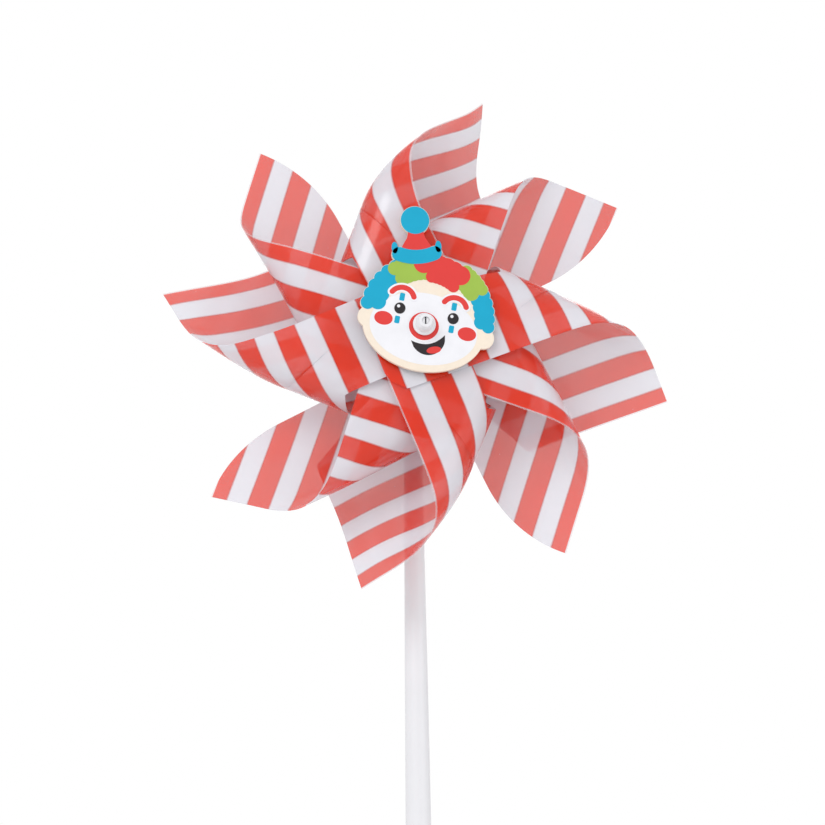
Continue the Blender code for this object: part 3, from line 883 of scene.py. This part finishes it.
def tuft_tree():
    """A tuft of hair: flat round lobes spaced along an outer and an inner arc of the head."""
    arcs = ("Outer", "Inner")
    floats = ("Radius", "Start", "Sweep", "Lobe")
    inputs = []
    for arc in arcs:
        inputs += [(f"{arc} {label}", "NodeSocketFloat") for label in floats]
        inputs.append((f"{arc} Count", "NodeSocketInt"))
    inputs += [(label, "NodeSocketFloat") for label in ("Rise", "Step")]
    inputs.append(("Material", "NodeSocketMaterial"))
    tree = Tree("hair_tuft", inputs)
    given = tree.inputs
    join = tree.node("GeometryNodeJoinGeometry")
    for arc in arcs:
        count = given[f"{arc} Count"]
        curve = tree.node(
            "GeometryNodeCurveArc",
            {"mode": "RADIUS"},
            Resolution=TUFT_ARC_POINTS,
            Radius=given[f"{arc} Radius"],
            Start_Angle=given[f"{arc} Start"],
            Sweep_Angle=given[f"{arc} Sweep"],
        ).outputs[0]
        places = tree.node("GeometryNodeCurveToPoints", {"mode": "COUNT"}, Curve=curve, Count=count)
        disc = tree.node(
            "GeometryNodeMeshCircle",
            {"fill_type": "NGON"},
            Vertices=LOBE_SIDES,
            Radius=given[f"{arc} Lobe"],
        ).outputs[0]
        raised = tree.node(
            "GeometryNodeExtrudeMesh", {"mode": "FACES"}, Mesh=disc, Offset_Scale=given["Rise"]
        )
        base = tree.node("GeometryNodeFlipFaces", Mesh=disc).outputs[0]
        lobe = tree.node("GeometryNodeJoinGeometry")
        tree.feed(lobe.inputs[0], raised.outputs[0])
        tree.feed(lobe.inputs[0], base)
        whole = tree.node(
            "GeometryNodeMergeByDistance", Geometry=lobe.outputs[0], Distance=WELD_DISTANCE
        ).outputs[0]
        index = tree.node("GeometryNodeInputIndex").outputs[0]
        order = tree.math("ADD", index, 0.5 * arcs.index(arc))
        rise = tree.math("MULTIPLY", order, given["Step"])
        lift = tree.node("ShaderNodeCombineXYZ", Z=rise).outputs[0]
        lifted = tree.node("GeometryNodeSetPosition", Geometry=places.outputs[0], Offset=lift)
        points = lifted.outputs[0]
        set_out = tree.node("GeometryNodeInstanceOnPoints", Points=points, Instance=whole)
        tree.feed(join.inputs[0], set_out.outputs[0])
    tree.end(join.outputs[0])
    return tree


def place_tuft(piece, station):
    """Stands a tuft made on the ground plane on the badge, facing forward."""
    for vertex in piece.data.vertices:
        across = HAIR_CENTRE[0] + vertex.co.x / MM
        up = HAIR_CENTRE[1] + vertex.co.y / MM
        vertex.co = badge_place(across, up, station + vertex.co.z)
    bm = bmesh.new()
    bm.from_mesh(piece.data)
    bmesh.ops.recalc_face_normals(bm, faces=bm.faces)
    bm.to_mesh(piece.data)
    bm.free()


# ---- settings


def colour_property(name, description, default):
    return bpy.props.FloatVectorProperty(
        name=name, description=description, default=default, subtype="COLOR", min=0.0, max=1.0
    )


def length_property(name, description, default):
    return bpy.props.FloatProperty(
        name=name, description=description, default=default, unit="LENGTH", precision=5
    )


def share_property(name, description, default):
    return bpy.props.FloatProperty(
        name=name, description=description, default=default, min=0.0, max=1.0
    )


class PinwheelFilmSettings(bpy.types.PropertyGroup):
    stripe_width: length_property("Stripe width", "Width of one red or white stripe", 7.0 * MM)
    edge_stripe: length_property("Edge stripe", "Width of the red stripe at a cut edge", 5.2 * MM)
    line_width: length_property("Ink line", "Width of the line where two inks overlap", 0.60 * MM)
    red: colour_property("Red", "Colour of the red ink", (0.84, 0.034, 0.005))
    white: colour_property("White", "Colour of the white ink", (0.84, 0.84, 0.90))
    red_density: share_property("Red density", "How opaque the red ink is", 0.62)
    white_density: share_property("White density", "How opaque the white ink is", 0.64)


class PinwheelPlasticSettings(bpy.types.PropertyGroup):
    colour: colour_property("Colour", "Colour of the moulded parts", (0.80, 0.80, 0.83))
    roughness: share_property("Roughness", "How dull the moulded parts are", 0.30)
    rounding: length_property("Edge rounding", "Radius of the moulded edges", 0.5 * MM)


class PinwheelBadgeSettings(bpy.types.PropertyGroup):
    board: colour_property("Board", "Colour of the bare card and the skin", (0.90, 0.79, 0.66))
    face: colour_property("Make-up", "Colour of the white make-up", (0.84, 0.84, 0.88))
    blue: colour_property("Blue", "Colour of the blue ink", (0.0, 0.37, 0.58))
    green: colour_property("Green", "Colour of the green ink", (0.33, 0.50, 0.07))
    red: colour_property("Red", "Colour of the red ink", (0.72, 0.045, 0.040))
    black: colour_property("Black", "Colour of the black ink", (0.02, 0.015, 0.018))


class PinwheelStageSettings(bpy.types.PropertyGroup):
    floor_size: length_property("Floor size", "Side of the pale floor", 6.0)
    floor_colour: colour_property("Floor colour", "Colour of the floor", (0.92, 0.92, 0.92))
    key_power: bpy.props.FloatProperty(
        name="Key light", description="Power of the main soft light", default=9.5, unit="POWER"
    )
    ambient: bpy.props.FloatProperty(
        name="Ambient light",
        description="Strength of the light from all round",
        default=0.76,
        min=0.0,
    )


# ---- operators


class PINWHEEL_OT_films(bpy.types.Operator):
    """Make the two striped films, cut, pierced and curled to the hub"""

    bl_idname = "pinwheel.films"
    bl_label = "Make films"

    def execute(self, context):
        finish = film_material(context.scene.pinwheel_film)
        for order, sheet in enumerate(SHEETS):
            attach(film_piece(order, sheet, finish), WHEEL, FILM_SLOT, sheet["name"])
        return {"FINISHED"}


class PINWHEEL_OT_stick(bpy.types.Operator):
    """Make the tapered stick and the eye at its top"""

    bl_idname = "pinwheel.stick"
    bl_label = "Make stick"

    def execute(self, context):
        settings = context.scene.pinwheel_plastic
        finish = plastic_material("stick_plastic", settings.colour, settings.roughness)
        low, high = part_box("stick")
        eye_radius = high[2] - HUB_HEIGHT
        eye_half = eye_half_length()
        values = {
            "Length": HUB_HEIGHT - eye_radius * ROD_TOP_SHARE,
            "Foot Radius": (high[0] - low[0]) / 2,
            "Neck Radius": eye_radius * NECK_SHARE,
            "Rounding": settings.rounding,
            "Material": finish,
        }
        rod = smooth_shaded(stick_tree().make("stick_rod", values))
        bore = bore_of("stick")
        profile = rounded_tube(bore, eye_radius, -eye_half, eye_half, settings.rounding)
        eye = turned("stick_eye", profile, ROUND_SIDES, finish)
        for piece in (rod, eye):
            attach(piece, HANDLE, PLASTIC_SLOT, "stick")
        return {"FINISHED"}


def eye_half_length():
    """Half the length of the stick's eye along the axle."""
    return max(abs(place.y) for place in points_of("stick") if place.z > HUB_HEIGHT)


class PINWHEEL_OT_hub_parts(bpy.types.Operator):
    """Make the axle pin, the collar, the spacer and the nose cap"""

    bl_idname = "pinwheel.hub_parts"
    bl_label = "Make hub parts"

    def execute(self, context):
        settings = context.scene.pinwheel_plastic
        finish = plastic_material("hub_plastic", settings.colour, settings.roughness)
        edge = settings.rounding
        for node, body in (("rear_collar", HANDLE), ("hub_spacer", WHEEL)):
            back, front = stretch(node)
            rim = edge * TUBE_EDGE_SHARE
            profile = rounded_tube(bore_of(node), radius_of(node), back, front, rim)
            tube = turned(node + "_tube", profile, ROUND_SIDES, finish)
            attach(tube, body, PLASTIC_SLOT, node)
        attach(self.nose(finish), HANDLE, PLASTIC_SLOT, "nose_cap")
        attach(self.axle(finish, edge), HANDLE, PLASTIC_SLOT, "axle_pin")
        return {"FINISHED"}

    def nose(self, finish):
        """A domed cap with a thin flange, dished in the middle round the end of the pin."""
        back, front = stretch("nose_cap")
        bore, flange = bore_of("nose_cap"), radius_of("nose_cap")
        dome = flange * NOSE_DOME_SHARE
        rim = (front - back) * NOSE_RIM_SHARE
        foot = (dome + NOSE_FILLET, back + rim + NOSE_FILLET)
        points = [(bore, back)]
        points += fillet((flange - rim / 2, back + rim / 2), rim / 2, -90.0, 90.0, 10)
        points += fillet(foot, NOSE_FILLET, 270.0, 180.0)
        height = front - back - rim
        top = math.sin(math.radians(DOME_START + DOME_SWEEP))
        for step in range(1, DOME_STEPS + 1):
            angle = math.radians(DOME_START + DOME_SWEEP * step / DOME_STEPS)
            station = back + rim + height * math.sin(angle) / top
            points.append((dome * math.cos(angle), station))
        points += fillet((bore + NOSE_FILLET, front - NOSE_LIP), NOSE_FILLET, 90.0, 180.0)
        return turned("nose_cap_dome", points, ROUND_SIDES, finish)

    def axle(self, finish, edge):
        """The pin, with a flat round head behind and a split, chamfered end in front."""
        back, front = stretch("axle_pin")
        head, pin = radius_of("axle_pin"), bore_of("nose_cap") - PIN_GAP
        seat = back + PIN_HEAD_THICKNESS
        points = [(0.0, back)]
        points += fillet((head - edge, back + edge), edge, -90.0, 0.0)
        points += fillet((head - edge / 2, seat - edge / 2), edge / 2, 0.0, 90.0)
        points += [(pin, seat), (pin, front - PIN_CHAMFER)]
        points += [(pin - PIN_CHAMFER, front), (0.0, front)]
        axle = turned("axle_pin_body", points, PIN_SIDES, finish)
        bm = bmesh.new()
        bmesh.ops.create_cube(bm, size=1.0)
        bmesh.ops.scale(bm, vec=(SPLIT_WIDTH, SPLIT_DEPTH, 4.0 * pin), verts=bm.verts)
        bmesh.ops.translate(bm, vec=(0.0, -front, HUB_HEIGHT), verts=bm.verts)
        split = object_from(bm, "axle_split", finish)
        return smooth_shaded(combined(axle, [("DIFFERENCE", split)]))


class PINWHEEL_OT_badge_card(bpy.types.Operator):
    """Make the die-cut card of the badge"""

    bl_idname = "pinwheel.badge_card"
    bl_label = "Make badge card"

    def execute(self, context):
        card = card_piece(card_material(context.scene.pinwheel_badge.board))
        attach(card, BADGE, CARD_SLOT, "face_badge")
        return {"FINISHED"}


class PINWHEEL_OT_badge_hair(bpy.types.Operator):
    """Make the tufts of hair round the face"""

    bl_idname = "pinwheel.badge_hair"
    bl_label = "Make hair"

    def execute(self, context):
        settings = context.scene.pinwheel_badge
        tree = tuft_tree()
        names = ("blue", "green", "red")
        inks = {name: ink_material("hair_" + name, getattr(settings, name)) for name in names}
        for name, colour, level, outer, inner in TUFTS:
            rise = (PRINT_SINK + INK_STEP * level) * MM
            values = {"Material": inks[colour], "Rise": rise, "Step": LOBE_STEP * MM}
            for arc, (radius, start, sweep, count, lobe) in (("Outer", outer), ("Inner", inner)):
                values[f"{arc} Radius"] = radius * MM
                values[f"{arc} Start"] = math.radians(start)
                values[f"{arc} Sweep"] = math.radians(sweep)
                values[f"{arc} Count"] = count
                values[f"{arc} Lobe"] = lobe * MM
            tuft = tree.make("hair_" + name, values)
            place_tuft(tuft, CARD_FRONT - PRINT_SINK * MM)
            attach(tuft, BADGE, CARD_SLOT)
        return {"FINISHED"}


class PINWHEEL_OT_badge_print(bpy.types.Operator):
    """Print the hat and the clown's make-up on the card"""

    bl_idname = "pinwheel.badge_print"
    bl_label = "Print face"

    def execute(self, context):
        settings = context.scene.pinwheel_badge
        names = ("face", "blue", "red", "black")
        inks = {name: ink_material("ink_" + name, getattr(settings, name)) for name in names}
        ink("make_up", [oval(MAKE_UP_OVAL, 0.0, FINE_OVAL_SIDES)], 1, inks["face"])
        ink("cheeks", [oval(cheek) for cheek in CHEEKS], 2, inks["red"])
        ink("dashes", [dash(*ends) for ends in DASHES], 2, inks["blue"])
        brows = [band(place, BROW_RADIUS, BROW_WIDTH, *BROW_SPAN) for place in BROWS]
        halos = [band(place, BROW_RADIUS, BROW_WIDTH, *BROW_SPAN, HALO) for place in BROWS]
        ink("brow_halos", halos, 4, inks["face"])
        ink("brows", brows, 5, inks["red"])
        ink("eyes", [oval(eye) for eye in EYES], 4, inks["black"])
        glints = [oval(glint, 0.0, GLINT_SIDES) for glint in EYE_GLINTS]
        ink("eye_glints", glints, 5, inks["face"])
        ink("mouth", [in_mouth(crescent())], 2, inks["black"])
        ink("tongue", [in_mouth(oval(TONGUE))], 3, inks["red"])
        ink("nose_halo", [oval(NOSE_HALO)], 4, inks["face"])
        ink("nose_disc", [oval(NOSE_DISC)], 5, inks["red"])
        ink("hat", [in_hat(HAT_CONE)], 4, inks["red"])
        ink("brim", [brim_outline()], 6, inks["blue"])
        horns = [in_hat(oval(horn, 0.0, EAR_SIDES)) for horn in BRIM_HORNS]
        ink("brim_horns", horns, 6, inks["blue"])
        ink("pompom", [in_hat(oval(POMPOM))], 5, inks["blue"])
        return {"FINISHED"}


class PINWHEEL_OT_stage(bpy.types.Operator):
    """Make the floor, the lights and the camera"""

    bl_idname = "pinwheel.stage"
    bl_label = "Make stage"

    def execute(self, context):
        settings = context.scene.pinwheel_stage
        half = settings.floor_size / 2
        bm = bmesh.new()
        bmesh.ops.create_grid(bm, x_segments=8, y_segments=8, size=half)
        floor = object_from(bm, "floor", stage_material("floor_paint", settings.floor_colour))
        self.world(context.scene, settings.ambient)
        for name, place, size, share in LAMPS:
            self.lamp(name, place, size, settings.key_power * share)
        self.camera(context.scene)
        context.scene.view_settings.view_transform = "Standard"
        return {"FINISHED"}

    def world(self, scene, ambient):
        """A white surround, dimmer as a light than it looks."""
        scene.world = bpy.data.worlds.new("white_room")
        scene.world.use_nodes = True
        room = Nodes(scene.world.node_tree)
        seen = room.node("ShaderNodeBackground", Color=WHITE).outputs[0]
        light = room.node("ShaderNodeBackground", Color=WHITE, Strength=ambient).outputs[0]
        direct = room.node("ShaderNodeLightPath").outputs["Is Camera Ray"]
        mix = room.node("ShaderNodeMixShader", i0=direct, i1=light, i2=seen)
        room.node("ShaderNodeOutputWorld", Surface=mix.outputs[0])

    def lamp(self, name, place, size, power):
        data = bpy.data.lights.new(name, "AREA")
        data.size = size
        data.energy = power
        lamp = bpy.data.objects.new(name, data)
        lamp.location = place
        aim = Vector((0.0, 0.0, HUB_HEIGHT)) - Vector(place)
        lamp.rotation_euler = aim.to_track_quat("-Z", "Y").to_euler()
        bpy.context.scene.collection.objects.link(lamp)

    def camera(self, scene):
        """A long lens a little below the hub and to its left, aimed just under the hub."""
        data = bpy.data.cameras.new("camera")
        data.sensor_width = SENSOR_WIDTH
        data.lens = LENS
        camera = bpy.data.objects.new("camera", data)
        flat, up = math.cos(VIEW_ELEVATION), math.sin(VIEW_ELEVATION)
        away = Vector((math.sin(VIEW_AZIMUTH) * flat, -math.cos(VIEW_AZIMUTH) * flat, up))
        camera.location = Vector((0.0, 0.0, HUB_HEIGHT)) + away * VIEW_DISTANCE
        target = Vector((0.0, 0.0, HUB_HEIGHT - VIEW_AIM))
        level = (target - camera.location).to_track_quat("-Z", "Y")
        camera.rotation_euler = (level @ Quaternion((0.0, 0.0, 1.0), VIEW_ROLL)).to_euler()
        scene.collection.objects.link(camera)
        scene.camera = camera


class PINWHEEL_PT_panel(bpy.types.Panel):
    """Lists the steps that build the pinwheel"""

    bl_idname = "PINWHEEL_PT_panel"
    bl_label = "Pinwheel"
    bl_space_type = "VIEW_3D"
    bl_region_type = "UI"
    bl_category = "Pinwheel"

    def draw(self, context):
        column = self.layout.column(align=True)
        for step in STEPS:
            column.operator(step.bl_idname)
        for group in GROUPS:
            settings = getattr(context.scene, group)
            for name in settings.__annotations__:
                column.prop(settings, name)


STEPS = (
    PINWHEEL_OT_stage,
    PINWHEEL_OT_stick,
    PINWHEEL_OT_hub_parts,
    PINWHEEL_OT_films,
    PINWHEEL_OT_badge_card,
    PINWHEEL_OT_badge_hair,
    PINWHEEL_OT_badge_print,
)
GROUPS = {
    "pinwheel_film": PinwheelFilmSettings,
    "pinwheel_plastic": PinwheelPlasticSettings,
    "pinwheel_badge": PinwheelBadgeSettings,
    "pinwheel_stage": PinwheelStageSettings,
}


def register():
    for made in (*GROUPS.values(), *STEPS, PINWHEEL_PT_panel):
        bpy.utils.register_class(made)
    for name, group in GROUPS.items():
        setattr(bpy.types.Scene, name, bpy.props.PointerProperty(type=group))


def unregister():
    for name in GROUPS:
        delattr(bpy.types.Scene, name)
    for made in reversed((*GROUPS.values(), *STEPS, PINWHEEL_PT_panel)):
        bpy.utils.unregister_class(made)


def main():
    register()
    for step in STEPS:
        group, name = step.bl_idname.split(".")
        getattr(getattr(bpy.ops, group), name)()


if __name__ == "__main__":
    main()
